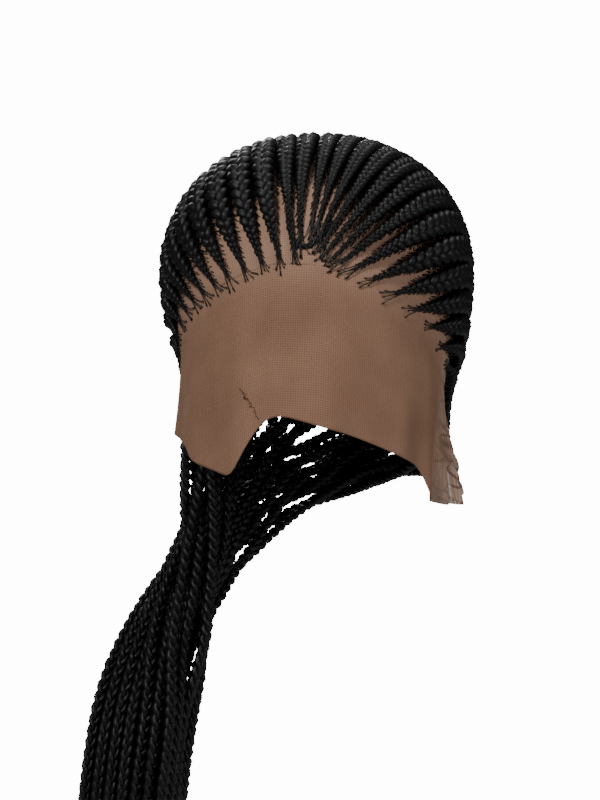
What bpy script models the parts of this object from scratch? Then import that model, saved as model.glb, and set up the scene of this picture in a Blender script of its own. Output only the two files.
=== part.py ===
"""Braid wig: a lace cap with an untrimmed lace front, fourteen cornrows on each side that run back
from the hairline, and the free braids that they turn into, gathered over the wearer's right shoulder.

Metres, +Z up. The face looks to -Y and +X is the wearer's left. The origin is the centre of the
head's widest level, inside the cap.
"""
import math

import bmesh
import bpy
import numpy as np

# Head that the cap is made for, from the centre of its widest level
HEAD_HALF_WIDTH = 0.074
HEAD_FRONT = 0.094
HEAD_BACK = 0.098
CROWN_HEIGHT = 0.0672
HEAD_BELOW = 0.160
HEAD_SQUARENESS = 2.2

# Neck that the free braids pass round: it widens upwards to the nape
NECK_RADIUS = 0.048
NECK_CENTRE_Y = 0.010
NECK_LEVEL = -0.126
NAPE_LEVEL = -0.097
NAPE_RADIUS = 0.062

# Cap
CAP_WALL = 0.0012
CAP_COLUMNS = 48
CAP_RINGS = 6
FACE_GAP = 0.0004

# Rim of the cap on each side: hairline in front, round the ear, nape behind
RIM = (
    # azimuth, elevation in degrees
    (0, 10.4), (8, 10.2), (14, 8.2), (22, 4.2), (30, 0.0), (38, -5.0), (48, -13.0),
    (60, -22.5), (72, -31.5), (82, -40.0), (96, -44.6), (120, -47.1), (150, -49.2), (180, -50.3),
)
EAR_AZIMUTH = 82

# Cornrows
ROW_WIDTH = 0.0122
ROW_START_WIDTH = 0.0027
ROW_HEIGHT_SHARE = 0.68
ROW_STEEPEST = 0.95
ROW_FEED_LENGTH = 0.045
ROW_BACK_WIDTH = 0.0230
ROW_BACK_LENGTH = 0.175
ROW_BACK_EASE = 1.3
ROW_FEED_SHARE = 0.16
FEED_EASE = 1.1
ROW_GAP = 0.0006
ROW_STEP = 0.023
ROW_LEAST_STEPS = 4
ROW_FIRST_FROM_TOP = 0.0062
ROW_LAST_FROM_RIM = 0.0060
ROW_FIRST_FROM_NAPE = 0.0046
ROW_LAST_FROM_EAR = 0.0090
# Turn of the rows' middles from the ear line to the back, and how far down from the crown they may go
ROW_MID_TURN = 12
ROW_MID_REACH = 140
# Outline of a row's section, as shares of its width and its height
ROW_SECTION = (
    # across, up
    (-0.42, 0.0), (-0.50, 0.36), (-0.34, 0.82), (0.0, 1.0), (0.34, 0.82), (0.50, 0.36), (0.42, 0.0),
)
# Where the rows begin at the hairline, from the middle parting to the ear
ROW_STARTS_LEFT = (
    # azimuth, elevation in degrees
    (3, 20.0), (4, 18.1), (5, 16.4), (6, 14.8), (7.4, 13.3), (9.2, 12.0), (11.4, 10.9),
    (15, 9.2), (20.5, 6.4), (27.5, 2.4), (35.5, -2.8), (44.5, -9.5), (55, -18.0), (68, -28.0),
)
ROW_STARTS_RIGHT = (
    (0, 16.0), (1.2, 12.0), (5.4, 11.4), (10.4, 10.2), (15.6, 8.2), (20.6, 5.8), (25.6, 3.2),
    (30.6, 0.4), (35.8, -2.8), (41.4, -6.8), (48, -12.2), (56, -18.6), (65, -25.6), (75, -33.4),
)

# Free braids
BRAID_DIAMETER = 0.0066
# Width of a braid's end as a share of its full width, and the share of its length where the taper begins
BRAID_END_SHARE = 0.86
BRAID_TAPER_FROM = 0.4
BRAID_PITCH = 0.0075
BRAID_LAYERS = 4
# Steps of a braid's way round the neck, how far it keeps its row's heading, and its straight lead
LAUNCH_STEPS = 7
LAUNCH_REACH = 0.045
LAUNCH_DROOP = 1.5
LAUNCH_LEAD = 0.0042
# How a launched braid nears the bundle: shares of its sweep and its drop, a turn in degrees and a rise
ARRIVE_SWEEP = 0.42
ARRIVE_DROP = 0.16
ARRIVE_TURN = 16
ARRIVE_RISE = 0.008
# Steps of the hanging part, closer together near its top, and how many of them settle too
HANG_STEPS = 7
HANG_BIAS = 1.5
SETTLED_HANG_STEPS = 3
# Middle of the bundle beside the neck, where all the braids have come together
GATHER_SIDE = 0.067
GATHER_Y = 0.014
GATHER_LEVEL = -0.122
# Line that the bundle hangs along in front of the shoulder, and where it ends
HANG_SIDE = 0.0935
HANG_FRONT = 0.078
SHOULDER_DROP = 0.200
BRAID_END_LEVEL = -0.500
# The ends lie at slightly different heights: the most, and how it changes from braid to braid
END_STAGGER = 0.010
END_STAGGER_TURN = 2.4
# How slowly the bundle sets off sideways
SIDE_EASE = 0.6
# Turn of the bundle's outer face from the wearer's right to the front, at shares of the shoulder drop
BUNDLE_TURN = ((0.0, 40), (0.3, 60), (1.0, 76))
# Distance between the bundle's columns, at shares of the shoulder drop
COLUMN_PITCH = ((0.0, 0.0092), (0.35, 0.0083), (1.9, 0.0086))
# How the launched braids are moved apart
SETTLE_SHARES = (0.0, 0.25, 0.5, 0.75)
SETTLE_ROUNDS = 450
SETTLE_PUSH = 0.12
SETTLE_SMOOTHING = 0.06
SETTLE_SPARE = 0.00045
ROW_END_ROOM = 0.0020
# Round space at the end of each row that the braids keep clear of
ROW_END_INSET = 0.0050
ROW_END_REACH = 0.0088
RIM_POINTS = 121
RIM_REACH = 0.0054
# How far the braids may stand out to the wearer's left
LEFT_REACH = 0.0765
NEAR_ROUNDS = 20
NEAR_PITCHES = 2.2

# Lace front
LACE_WALL = 0.0010
LACE_LEFT_AZIMUTH = 82.5
LACE_RIGHT_AZIMUTH = -67.5
LACE_COLUMN_STEP = 3.75
LACE_ROWS = 7
LACE_DROP = 0.118
BROW_DROP = 0.021
LACE_SEAM = 0.0006
# Lift over the nose and the place below the brow where it is whole
NOSE_LIFT = 0.007
NOSE_HALF_WIDTH = 13
NOSE_BELOW_BROW = 0.032
FOLD_EASE = 1.5
# Lower edge of the lace, from the wearer's right to the left
LACE_EDGE = (
    # azimuth in degrees, drop below the head's widest level as a share of LACE_DROP
    (-67.5, 0.71), (-50, 0.70), (-31, 0.745), (-19, 0.75), (-14, 0.58), (-8, 0.46), (-3, 0.44),
    (7, 0.485), (16, 0.535), (29, 0.62), (44, 0.73), (49, 0.88), (62, 0.97), (74, 1.0), (82.5, 0.96),
)
# Folds that hang to the lower edge
LACE_FOLDS = (
    # azimuth in degrees, half width in degrees, depth as a share of LACE_DROP
    (-66, 12, 0.040), (-38, 5, 0.026), (-17, 3.5, 0.040), (34, 4, 0.022), (49, 4, 0.045),
    (60, 3.5, -0.035), (68, 3.5, 0.045), (80, 14, 0.114),
)

# Finishes: linear colour and roughness
HAIR_COLOUR = (0.006, 0.006, 0.007)
HAIR_ROUGHNESS = 0.42
LACE_COLOUR = (0.42, 0.27, 0.19)
CAP_COLOUR = (0.30, 0.19, 0.13)
LACE_ROUGHNESS = 0.85

ROWS = len(ROW_STARTS_LEFT)
# Points of a finely divided path, and a small step along the bundle
FINE_POINTS = 201
BUNDLE_STEP = 0.01
# Elevations between which a height on the head is looked for, and how often the stretch is halved
LEVEL_SEARCH = (-80.0, 40.0)
LEVEL_HALVINGS = 40


def unit(vectors):
    """Vectors of length one."""
    return vectors / np.linalg.norm(vectors, axis=-1, keepdims=True)


def direction(azimuth, elevation):
    """Unit vector at an azimuth from the face towards the wearer's left, and an elevation."""
    turn = np.radians(azimuth)
    rise = np.radians(elevation)
    return np.stack([np.sin(turn) * np.cos(rise), -np.cos(turn) * np.cos(rise), np.sin(rise)], -1)


def half_axes(points):
    """The head's half axes on the side of the centre that each point lies on."""
    depth = np.where(points[..., 1] < 0, HEAD_FRONT, HEAD_BACK)
    height = np.where(points[..., 2] > 0, CROWN_HEIGHT, HEAD_BELOW)
    return np.stack([np.full_like(depth, HEAD_HALF_WIDTH), depth, height], -1)


def on_head(directions, lift=0.0):
    """Points on the head's surface in the given directions, lifted off it along its normal."""
    axes = half_axes(directions)
    size = (np.abs(directions / axes) ** HEAD_SQUARENESS).sum(-1, keepdims=True)
    points = directions * size ** (-1 / HEAD_SQUARENESS)
    return points + head_normal(points) * lift


def head_normal(points):
    """Outward normal of the head's surface at points on it."""
    axes = half_axes(points)
    slope = np.sign(points) * np.abs(points / axes) ** (HEAD_SQUARENESS - 1) / axes
    return unit(slope)


def rim_elevation(azimuth):
    """Elevation of the cap's rim, straight between the cap's columns so that neighbours fit it."""
    columns = np.linspace(0, 180, CAP_COLUMNS // 2 + 1)
    smooth = np.interp(columns, *zip(*RIM))
    return np.interp(np.abs(azimuth), columns, smooth)


def evenly_along(points, count, first, last):
    """Points at even steps along a path, with a stretch left free at each end."""
    steps = np.linalg.norm(np.diff(points, axis=0), axis=1)
    travelled = np.concatenate([[0], np.cumsum(steps)])
    wanted = np.linspace(first, travelled[-1] - last, count)
    return np.stack([np.interp(wanted, travelled, points[:, axis]) for axis in range(3)], 1)


def travelled_along(points):
    """Length of the path up to each of its points."""
    steps = np.linalg.norm(np.diff(points, axis=0), axis=1)
    return np.concatenate([[0], np.cumsum(steps)])


def row_middles():
    """Directions of the rows' middles, evenly spaced from the crown down the side of the head."""
    tilt = np.linspace(0, ROW_MID_REACH, FINE_POINTS)
    azimuth = 90 - ROW_MID_TURN * (tilt / ROW_MID_REACH) ** 2
    above_rim = 90 - tilt > rim_elevation(azimuth)
    points = on_head(direction(azimuth, 90 - tilt))[above_rim]
    return unit(evenly_along(points, ROWS, ROW_FIRST_FROM_TOP, ROW_LAST_FROM_RIM))


def row_ends():
    """Directions of the rows' ends, evenly spaced along the rim from the nape to the ear."""
    azimuth = np.linspace(180, EAR_AZIMUTH, FINE_POINTS)
    points = on_head(direction(azimuth, rim_elevation(azimuth)))
    return unit(evenly_along(points, ROWS, ROW_FIRST_FROM_NAPE, ROW_LAST_FROM_EAR))


def row_lines(starts, side):
    """Directions along each row of one side: through its start, its middle and its end."""
    azimuth, elevation = np.array(starts, float).T
    begin = direction(azimuth, elevation)
    middle = row_middles()
    end = row_ends()
    control = 2 * middle - (begin + end) / 2
    share = np.linspace(0, 1, FINE_POINTS)[:, None]
    lines = []
    for row in range(ROWS):
        curve = (1 - share) ** 2 * begin[row] + 2 * share * (1 - share) * control[row]
        curve = unit(curve + share ** 2 * end[row])
        length = travelled_along(on_head(curve))[-1]
        stations = max(ROW_LEAST_STEPS, math.ceil(length / ROW_STEP)) + 1
        line = unit(evenly_along(on_head(curve), stations, 0.0, 0.0))
        lines.append(line * (side, 1, 1))
    return lines


def distance_to_path(points, path):
    """Shortest distance from each point to a path of straight steps."""
    start = path[:-1]
    step = np.diff(path, axis=0)
    offset = points[:, None] - start
    share = np.clip((offset * step).sum(-1) / (step * step).sum(-1), 0, 1)
    return np.linalg.norm(offset - share[..., None] * step, axis=-1).min(1)


def row_sizes(line, neighbours):
    """Width and height of a row at its stations: it grows with the hair fed in, beside its neighbours."""
    points = on_head(line)
    travelled = travelled_along(points)
    feed_length = min(ROW_FEED_LENGTH, ROW_FEED_SHARE * travelled[-1])
    fed = 1 - (1 - np.clip(travelled / feed_length, 0, 1)) ** FEED_EASE
    width = ROW_START_WIDTH + (ROW_WIDTH - ROW_START_WIDTH) * fed
    height = np.minimum(width, ROW_WIDTH) * ROW_HEIGHT_SHARE
    width += (ROW_BACK_WIDTH - ROW_WIDTH) * np.clip(travelled / ROW_BACK_LENGTH, 0, 1) ** ROW_BACK_EASE
    middles = (points[1:] + points[:-1]) / 2
    for other in neighbours:
        path = on_head(other)
        room = distance_to_path(points, path) - ROW_GAP
        between = distance_to_path(middles, path) - ROW_GAP
        room[1:] = np.minimum(room[1:], between)
        room[:-1] = np.minimum(room[:-1], between)
        width = np.minimum(width, room)
    return width, np.minimum(height, width * ROW_STEEPEST)


def row_lift(line):
    """Height of a row's underside over the head, so that its straight steps clear the cap."""
    points = on_head(line)
    step = travelled_along(points)[1]
    sag = step ** 2 / (8 * min(HEAD_HALF_WIDTH, CROWN_HEIGHT))
    return CAP_WALL + FACE_GAP + sag


def collection(name):
    """A new collection in the scene."""
    made = bpy.data.collections.new(name)
    bpy.context.scene.collection.children.link(made)
    return made


def material(name, colour, roughness):
    """A plain non-metallic surface."""
    made = bpy.data.materials.new(name)
    made.use_nodes = True
    shader = made.node_tree.nodes["Principled BSDF"]
    shader.inputs["Base Color"].default_value = (*colour, 1.0)
    shader.inputs["Roughness"].default_value = roughness
    shader.inputs["Metallic"].default_value = 0.0
    return made


def mesh_object(name, form, finish, home):
    """An object from a finished bmesh."""
    mesh = bpy.data.meshes.new(name)
    form.to_mesh(mesh)
    form.free()
    mesh.materials.append(finish)
    made = bpy.data.objects.new(name, mesh)
    home.objects.link(made)
    return made


def solidify(thing, thickness):
    """Give an open surface its wall, outwards from the surface."""
    wall = thing.modifiers.new("wall", "SOLIDIFY")
    wall.thickness = thickness
    wall.offset = 1.0
    wall.use_even_offset = True
    wall.use_rim = True
    thing.data.shade_smooth()


def grid_faces(form, rows, closed):
    """Faces between rows of vertices, each row as long as the next."""
    for lower, upper in zip(rows, rows[1:]):
        count = len(lower)
        for column in range(count if closed else count - 1):
            following = (column + 1) % count
            form.faces.new((lower[column], lower[following], upper[following], upper[column]))


def make_cap(finish, home):
    """The lace cap: a thin shell over the head, open below its rim."""
    form = bmesh.new()
    azimuth = np.arange(CAP_COLUMNS) * 360 / CAP_COLUMNS
    azimuth = np.where(azimuth > 180, azimuth - 360, azimuth)
    rim = rim_elevation(azimuth)
    rows = []
    for ring in range(CAP_RINGS):
        elevation = rim + (90 - rim) * ring / CAP_RINGS
        points = on_head(direction(azimuth, elevation))
        rows.append([form.verts.new(point) for point in points])
    grid_faces(form, rows, closed=True)
    crown = form.verts.new(on_head(direction(0.0, 90.0)))
    top = rows[-1]
    for column in range(CAP_COLUMNS):
        form.faces.new((top[column], top[(column + 1) % CAP_COLUMNS], crown))
    thing = mesh_object("lace_cap", form, finish, home)
    solidify(thing, CAP_WALL)
    return thing


def make_row(name, line, widths, heights, finish, home):
    """One cornrow: a half-round strip that follows its line over the cap."""
    lift = row_lift(line)
    base = on_head(line)
    normal = head_normal(base)
    along = unit(np.gradient(base, axis=0))
    across = unit(np.cross(along, normal))
    upright = np.cross(across, along)
    form = bmesh.new()
    rings = []
    for point, out, side, width, height in zip(base + normal * lift, upright, across, widths, heights):
        ring = [point + side * (u * width) + out * (v * height) for u, v in ROW_SECTION]
        rings.append([form.verts.new(corner) for corner in ring])
    grid_faces(form, rings, closed=True)
    form.faces.new(rings[0][::-1])
    form.faces.new(rings[-1])
    bmesh.ops.recalc_face_normals(form, faces=form.faces)
    thing = mesh_object(name, form, finish, home)
    thing.data.shade_smooth()
    return thing


def bundle_centre(share):
    """Middle of the bundle from the gathering point, share 0, to its hanging line, share 1."""
    ease = math.sin(math.pi / 2 * share)
    side = -GATHER_SIDE - (HANG_SIDE - GATHER_SIDE) * share ** SIDE_EASE
    depth = GATHER_Y - (HANG_FRONT + GATHER_Y) * ease
    return np.array([side, depth, GATHER_LEVEL - SHOULDER_DROP * share])


def bundle_section(share):
    """Middle, width axis and outward axis of the bundle's section."""
    inside = min(share, 1.0)
    centre = bundle_centre(inside)
    centre[2] -= SHOULDER_DROP * (share - inside)
    along = bundle_centre(min(inside + BUNDLE_STEP, 1.0)) - bundle_centre(max(inside - BUNDLE_STEP, 0.0))
    if share > 1.0:
        along = np.array([0.0, 0.0, -1.0])
    along = unit(along)
    turn = math.radians(np.interp(inside, *zip(*BUNDLE_TURN)))
    out = np.array([-math.cos(turn), -math.sin(turn), 0.0])
    wide = unit(np.cross(along, out))
    return centre, wide, np.cross(wide, along)


def bundle_point(place, share):
    """Where the braid of a given place runs in the bundle's section."""
    columns = 2 * ROWS // BRAID_LAYERS
    column = place // BRAID_LAYERS - (columns - 1) / 2
    layer = place % BRAID_LAYERS - (BRAID_LAYERS - 1) / 2
    centre, wide, out = bundle_section(share)
    pitch = np.interp(share, *zip(*COLUMN_PITCH))
    return centre + wide * (column * pitch) + out * (layer * BRAID_PITCH)


def round_neck(point):
    """Azimuth, radius and height of a point about the neck's axis, azimuth from 0 to 360."""
    x, y, z = point
    return np.array([math.degrees(math.atan2(x, NECK_CENTRE_Y - y)) % 360,
                     math.hypot(x, y - NECK_CENTRE_Y), z])


def from_neck(turned):
    """Point at an azimuth, radius and height about the neck's axis."""
    azimuth = np.radians(turned[..., 0])
    return np.stack([turned[..., 1] * np.sin(azimuth),
                     NECK_CENTRE_Y - turned[..., 1] * np.cos(azimuth), turned[..., 2]], -1)


def launch(exit_point, heading, place):
    """Way of a braid from the rim of the cap round the neck to the bundle's first section."""
    begin = round_neck(exit_point + heading * LAUNCH_LEAD)
    end = round_neck(bundle_point(place, 0.0))
    sweep = end[0] - begin[0]
    drop = begin[2] - end[2]
    drooping = unit(heading + (0.0, 0.0, -LAUNCH_DROOP))
    after_begin = round_neck(exit_point + drooping * LAUNCH_REACH)
    before_end = end + (-ARRIVE_SWEEP * sweep - ARRIVE_TURN, 0.0, ARRIVE_DROP * drop + ARRIVE_RISE)
    share = np.linspace(0, 1, LAUNCH_STEPS + 1)[:, None]
    turned = ((1 - share) ** 3 * begin + 3 * share * (1 - share) ** 2 * after_begin
              + 3 * share ** 2 * (1 - share) * before_end + share ** 3 * end)
    return np.concatenate([[exit_point], from_neck(turned)])


def inside_neck(points):
    """How far points lie within the clear space that the braids keep round the neck and the nape."""
    reach = np.hypot(points[..., 0], points[..., 1] - NECK_CENTRE_Y)
    neck = np.interp(points[..., 2], [NECK_LEVEL, NAPE_LEVEL], [NECK_RADIUS, NAPE_RADIUS])
    return np.maximum(neck + BRAID_DIAMETER / 2 + FACE_GAP - reach, 0.0)


def near_pairs(samples, owner):
    """Pairs of samples on different braids that lie close enough to meet soon."""
    distance = np.linalg.norm(samples[:, None] - samples, axis=-1)
    close = (distance < NEAR_PITCHES * BRAID_PITCH) & (owner[:, None] < owner)
    return np.nonzero(close)


def clear_of(samples, centres, room):
    """Moves that bring samples out of round spaces about the given centres."""
    away = samples[:, None] - centres
    distance = np.linalg.norm(away, axis=-1, keepdims=True)
    return (away / distance * np.clip(room - distance, 0, None)).sum(1)


def nape_rim():
    """Points close together along the part of the cap's rim that the braids leave from."""
    azimuth = np.linspace(-180, 180, RIM_POINTS)
    azimuth = azimuth[np.abs(azimuth) > EAR_AZIMUTH]
    return on_head(direction(azimuth, rim_elevation(azimuth)), CAP_WALL / 2)


def settle(ways, row_ends):
    """Move the launched braids apart until they lie beside each other and clear of the rows' ends."""
    braids, stations = ways.shape[:2]
    shares = np.array(SETTLE_SHARES)[:, None]
    owner = np.repeat(np.arange(braids), (stations - 1) * len(shares))
    radius = np.full((braids, stations - 1, len(shares)), BRAID_PITCH / 2 + SETTLE_SPARE)
    radius[:, 0] += ROW_END_ROOM
    radius = radius.ravel()
    rim = nape_rim()
    free = np.ones((stations, 1))
    free[[0, 1, -1]] = 0.0
    for turn in range(SETTLE_ROUNDS):
        samples = (ways[:, 1:, None] * shares + ways[:, :-1, None] * (1 - shares)).reshape(-1, 3)
        if turn % NEAR_ROUNDS == 0:
            one, other = near_pairs(samples, owner)
        apart = samples[one] - samples[other]
        distance = np.linalg.norm(apart, axis=1)
        overlap = np.clip(radius[one] + radius[other] - distance, 0, None)
        shift = apart * (overlap / distance * SETTLE_PUSH)[:, None]
        push = np.zeros_like(samples)
        np.add.at(push, one, shift)
        np.add.at(push, other, -shift)
        level = (samples - (0.0, NECK_CENTRE_Y, 0.0)) * (1, 1, 0)
        push += unit(level) * inside_neck(samples)[:, None]
        push += clear_of(samples, row_ends, ROW_END_REACH)
        push += clear_of(samples, rim, RIM_REACH)
        push[:, 0] -= np.clip(samples[:, 0] - LEFT_REACH, 0, None)
        push = push.reshape(braids, stations - 1, len(shares), 3)
        moved = np.zeros_like(ways)
        moved[:, 1:] += (push * shares).sum(2)
        moved[:, :-1] += (push * (1 - shares)).sum(2)
        if turn < SETTLE_ROUNDS // 2:
            moved[:, 1:-1] += ((ways[:, 2:] + ways[:, :-2]) / 2 - ways[:, 1:-1]) * SETTLE_SMOOTHING
        ways = ways + moved * free
    return ways


def braid_ways(exits):
    """Centre lines of all the free braids, from the right ear round the nape to the left ear."""
    hang = (GATHER_LEVEL - BRAID_END_LEVEL) / SHOULDER_DROP
    shares = hang * (np.arange(1, HANG_STEPS + 1) / HANG_STEPS) ** HANG_BIAS
    starts = []
    ends = []
    for place, leaving in enumerate(exits):
        hanging = [bundle_point(place, share) for share in shares]
        hanging[-1][2] += END_STAGGER * math.sin(place * END_STAGGER_TURN)
        starts.append(np.concatenate([launch(*leaving, place), hanging[:SETTLED_HANG_STEPS]]))
        ends.append(hanging[SETTLED_HANG_STEPS:])
    row_ends = np.array([exit_point - heading * ROW_END_INSET for exit_point, heading in exits])
    return np.concatenate([settle(np.array(starts), row_ends), ends], axis=1)


def make_braid(name, way, finish, home):
    """One free braid: a tapering round tube along its centre line."""
    curve = bpy.data.curves.new(name, "CURVE")
    curve.dimensions = "3D"
    curve.bevel_depth = BRAID_DIAMETER / 2
    curve.bevel_resolution = 1
    curve.use_fill_caps = True
    spline = curve.splines.new("POLY")
    spline.points.add(len(way) - 1)
    travelled = travelled_along(way)
    tapers = np.interp(travelled / travelled[-1], [BRAID_TAPER_FROM, 1], [1, BRAID_END_SHARE])
    for knot, point, taper in zip(spline.points, way, tapers):
        knot.co = (*point, 1.0)
        knot.radius = taper
    curve.materials.append(finish)
    thing = bpy.data.objects.new(name, curve)
    home.objects.link(thing)
    return thing


def level_elevation(azimuth, level):
    """Elevation at which the head's surface has a given height, found by halving."""
    low, high = LEVEL_SEARCH
    for _ in range(LEVEL_HALVINGS):
        guess = (low + high) / 2
        if on_head(direction(azimuth, guess))[2] < level:
            low = guess
        else:
            high = guess
    return low


def lace_point(azimuth, share):
    """Point of the lace at a share of the way from the hairline down to its lower edge."""
    top = on_head(direction(azimuth, rim_elevation(azimuth)))
    edge = -LACE_DROP * np.interp(azimuth, *zip(*LACE_EDGE))
    height = (top[2] - LACE_SEAM) * (1 - share) + edge * share
    # Above the brow the lace lies on the head, and below it the lace hangs straight down
    level = min(max(height, -BROW_DROP), top[2])
    reach = np.linalg.norm(on_head(direction(azimuth, level_elevation(azimuth, level)))[:2])
    below_brow = np.clip((-BROW_DROP - height) / NOSE_BELOW_BROW, 0, 1)
    reach += math.exp(-(azimuth / NOSE_HALF_WIDTH) ** 2) * NOSE_LIFT * below_brow
    fold = sum(depth * LACE_DROP * math.exp(-((azimuth - place) / half) ** 2)
               for place, half, depth in LACE_FOLDS)
    reach += fold * share ** FOLD_EASE
    turn = math.radians(azimuth)
    return np.array([math.sin(turn) * reach, -math.cos(turn) * reach, height])


def make_lace(finish, home):
    """The lace front: a thin sheet that hangs from the hairline over the brow."""
    form = bmesh.new()
    columns = round((LACE_LEFT_AZIMUTH - LACE_RIGHT_AZIMUTH) / LACE_COLUMN_STEP) + 1
    azimuths = np.linspace(LACE_RIGHT_AZIMUTH, LACE_LEFT_AZIMUTH, columns)
    rows = []
    for row in range(LACE_ROWS + 1):
        share = row / LACE_ROWS
        rows.append([form.verts.new(lace_point(azimuth, share)) for azimuth in azimuths])
    grid_faces(form, rows[::-1], closed=False)
    thing = mesh_object("lace_front", form, finish, home)
    solidify(thing, LACE_WALL)
    return thing


def numbered(place):
    """Side and number of the row at a place from the right ear over the crown to the left ear."""
    if place < ROWS:
        return f"right_{ROWS - place:02d}"
    return f"left_{place - ROWS + 1:02d}"


def make_wig():
    """All the wig's pieces."""
    home = collection("braid_wig")
    hair = material("black_braiding_hair", HAIR_COLOUR, HAIR_ROUGHNESS)
    lace = material("tan_lace", LACE_COLOUR, LACE_ROUGHNESS)
    cap_net = material("brown_cap_lace", CAP_COLOUR, LACE_ROUGHNESS)
    make_cap(cap_net, home)
    make_lace(lace, home)
    in_order = row_lines(ROW_STARTS_RIGHT, -1)[::-1] + row_lines(ROW_STARTS_LEFT, 1)
    exits = []
    for place, line in enumerate(in_order):
        neighbours = in_order[max(place - 1, 0):place] + in_order[place + 1:place + 2]
        widths, heights = row_sizes(line, neighbours)
        make_row(f"cornrow_{numbered(place)}", line, widths, heights, hair, home)
        base = on_head(line)
        rise = row_lift(line) + max(heights[-1] / 2, BRAID_DIAMETER / 2)
        along = unit(base[-1] - base[-2])
        exits.append((base[-1] + head_normal(base)[-1] * rise + along * FACE_GAP, along))
    for place, way in enumerate(braid_ways(exits)):
        make_braid(f"braid_{numbered(place)}", way, hair, home)


for leftover in list(bpy.data.objects):
    bpy.data.objects.remove(leftover)
make_wig()
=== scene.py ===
"""Looks of the braid wig: every cornrow and free braid as a three-strand plait of fine black hair,
the lace cap in the partings, the sheer untrimmed lace front, and the short hairs along the hairline.

Metres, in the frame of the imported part: +Z up, the face looks to -Y and +X is the wearer's left.
"""
import math

import bmesh
import bpy
import numpy as np
from mathutils import Matrix, Vector
from mathutils.bvhtree import BVHTree


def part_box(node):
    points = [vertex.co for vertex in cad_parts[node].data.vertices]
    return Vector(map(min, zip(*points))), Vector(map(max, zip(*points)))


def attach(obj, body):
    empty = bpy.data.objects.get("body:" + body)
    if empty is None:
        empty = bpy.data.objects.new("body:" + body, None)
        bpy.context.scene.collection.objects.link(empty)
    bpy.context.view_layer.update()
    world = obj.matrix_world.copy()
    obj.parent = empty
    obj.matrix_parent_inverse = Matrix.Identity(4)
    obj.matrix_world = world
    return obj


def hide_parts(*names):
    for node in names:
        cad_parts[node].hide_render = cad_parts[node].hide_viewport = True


ROWS = 14
SIDES = ("left", "right")
DOUBLES = 0.00002
FINE_STEP = 0.0008
# Fewest stations of a cornrow's course, and of a plait's strands
LEAST_COURSE = 8
LEAST_PLAIT = 6
# Distance from the head's middle that rays to the cap start at
RAY_START = 0.5

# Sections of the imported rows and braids: corners of one ring
ROW_CORNERS = 7
BRAID_CORNERS = 6

# A plait: sway of its strands and their half width, as shares of its width
SWAY = 0.285
STRAND_HALF_WIDTH = 0.240
# Rise of its strands and their half thickness, as shares of its thickness
RISE = 0.215
STRAND_HALF_THICKNESS = 0.300
STRANDS = 3
# How unevenly thick the strands are along a plait, and how slowly that changes, in waves for each turn
UNEVENNESS = 0.07
UNEVEN_WAVES = (0.23, 0.41)
# How far the fibres are shifted from strand to strand, in girths of a strand
FIBRE_SHIFT = 2.37

# Cornrows: length of one whole plait as a share of the row's width, and its shortest
ROW_PERIOD_SHARE = 1.75
ROW_SHORTEST_PERIOD = 0.0085
# Fullness of a row at distances from its start, where it is only a few hairs
ROW_FULLNESS = (
    # distance in metres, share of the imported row's width
    (0.0, 0.42), (0.012, 0.80), (0.035, 1.14), (0.060, 1.32),
)
# Most that a row's height grows with its fullness
ROW_HEIGHT_FULLNESS = 1.10
ROW_STATIONS = 16
ROW_SIDES = 8

# Free braids
BRAID_WIDTH = 0.0074
BRAID_THICKNESS = 0.0066
BRAID_FIRST_PERIOD = 0.0165
BRAID_LAST_PERIOD = 0.0200
BRAID_STATIONS = 10
BRAID_SIDES = 7
# Length of the closing tip, and its thickness and its sway at the very end, as shares of the braid's
BRAID_TIP = 0.022
BRAID_TIP_SHARE = 0.35
TIP_SWAY_SHARE = 0.35
# How much slimmer a braid is at its end
BRAID_SLIMMING = 0.10
BRAID_TUCK = 0.004
# Rounds that even out a braid's bends
BRAID_SMOOTHING = 480

# Thin plait that turns round in the middle of the hairline and ties the two sides together
ARCH_COURSE = (
    # azimuth, elevation in degrees
    (-5.3, 25.5), (-3.6, 20.9), (-2.3, 17.6), (-0.9, 15.9), (0.8, 15.4), (2.8, 16.0), (4.8, 17.5),
    (7.1, 20.0), (9.6, 23.2),
)
ARCH_LIFT = 0.0002
# Share of its length, and its fullness there
ARCH_FULLNESS = ((0, 0.6), (0.2, 1), (0.8, 1), (1, 0.6))
ARCH_WIDTH = 0.0026
ARCH_HEIGHT = 0.0020
ARCH_PERIOD = 0.0056
# Way round one of its strands, as a share of its width
ARCH_GIRTH_SHARE = 1.5

# Short hairs at the start of each row, which lie on the lace
ROOT_HAIRS = 4
ROOT_HAIR_LENGTH = (0.0030, 0.0078)
# How far they splay and how unevenly, in degrees
ROOT_HAIR_SPREAD = 34
ROOT_HAIR_JITTER = 12
ROOT_HAIR_RADIUS = 0.00026
ROOT_HAIR_KNOT = 0.00050
# Where in the row they come from: the furthest, and the least share of it
ROOT_HAIR_FROM = 0.014
ROOT_HAIR_NEAREST = 0.5
# How far out they bend, ahead and aside, as shares of their length
ROOT_BEND_AHEAD = 0.10
ROOT_BEND_ASIDE = 0.12
# Their height over the lace: at the end, more in the row, and more midway
ROOT_LIFT = 0.0004
ROOT_ROW_LIFT = 0.0012
ROOT_ARCH_LIFT = 0.0004
# Steps along the row that show which way its start points
ROOT_HEADING_STEPS = 6
# Thickness at its start and towards its knotted end, as shares
ROOT_TAPER = (1.3, 0.8)
ROOT_STATIONS = 7
# Short hairs fed into the rows from both sides
FEED_REACH = 0.060
FEED_STEP = 0.0021
# How far beside the row they start, and how far back along it they run
FEED_OUT = 0.0010
FEED_BACK = 0.0030
FEED_RADIUS = 0.00018
FEED_TAPER = (1.5, 0.8)
FEED_STATIONS = 4
# Where the first one is, and the share of a short row's length that takes them in
FEED_FIRST = 0.001
FEED_ROW_SHARE = 0.7
# Range of the way back, as shares of it, and where in the row's half width they end
FEED_BACK_RANGE = (0.4, 1.3)
FEED_DEPTH_SHARE = 0.6
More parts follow.
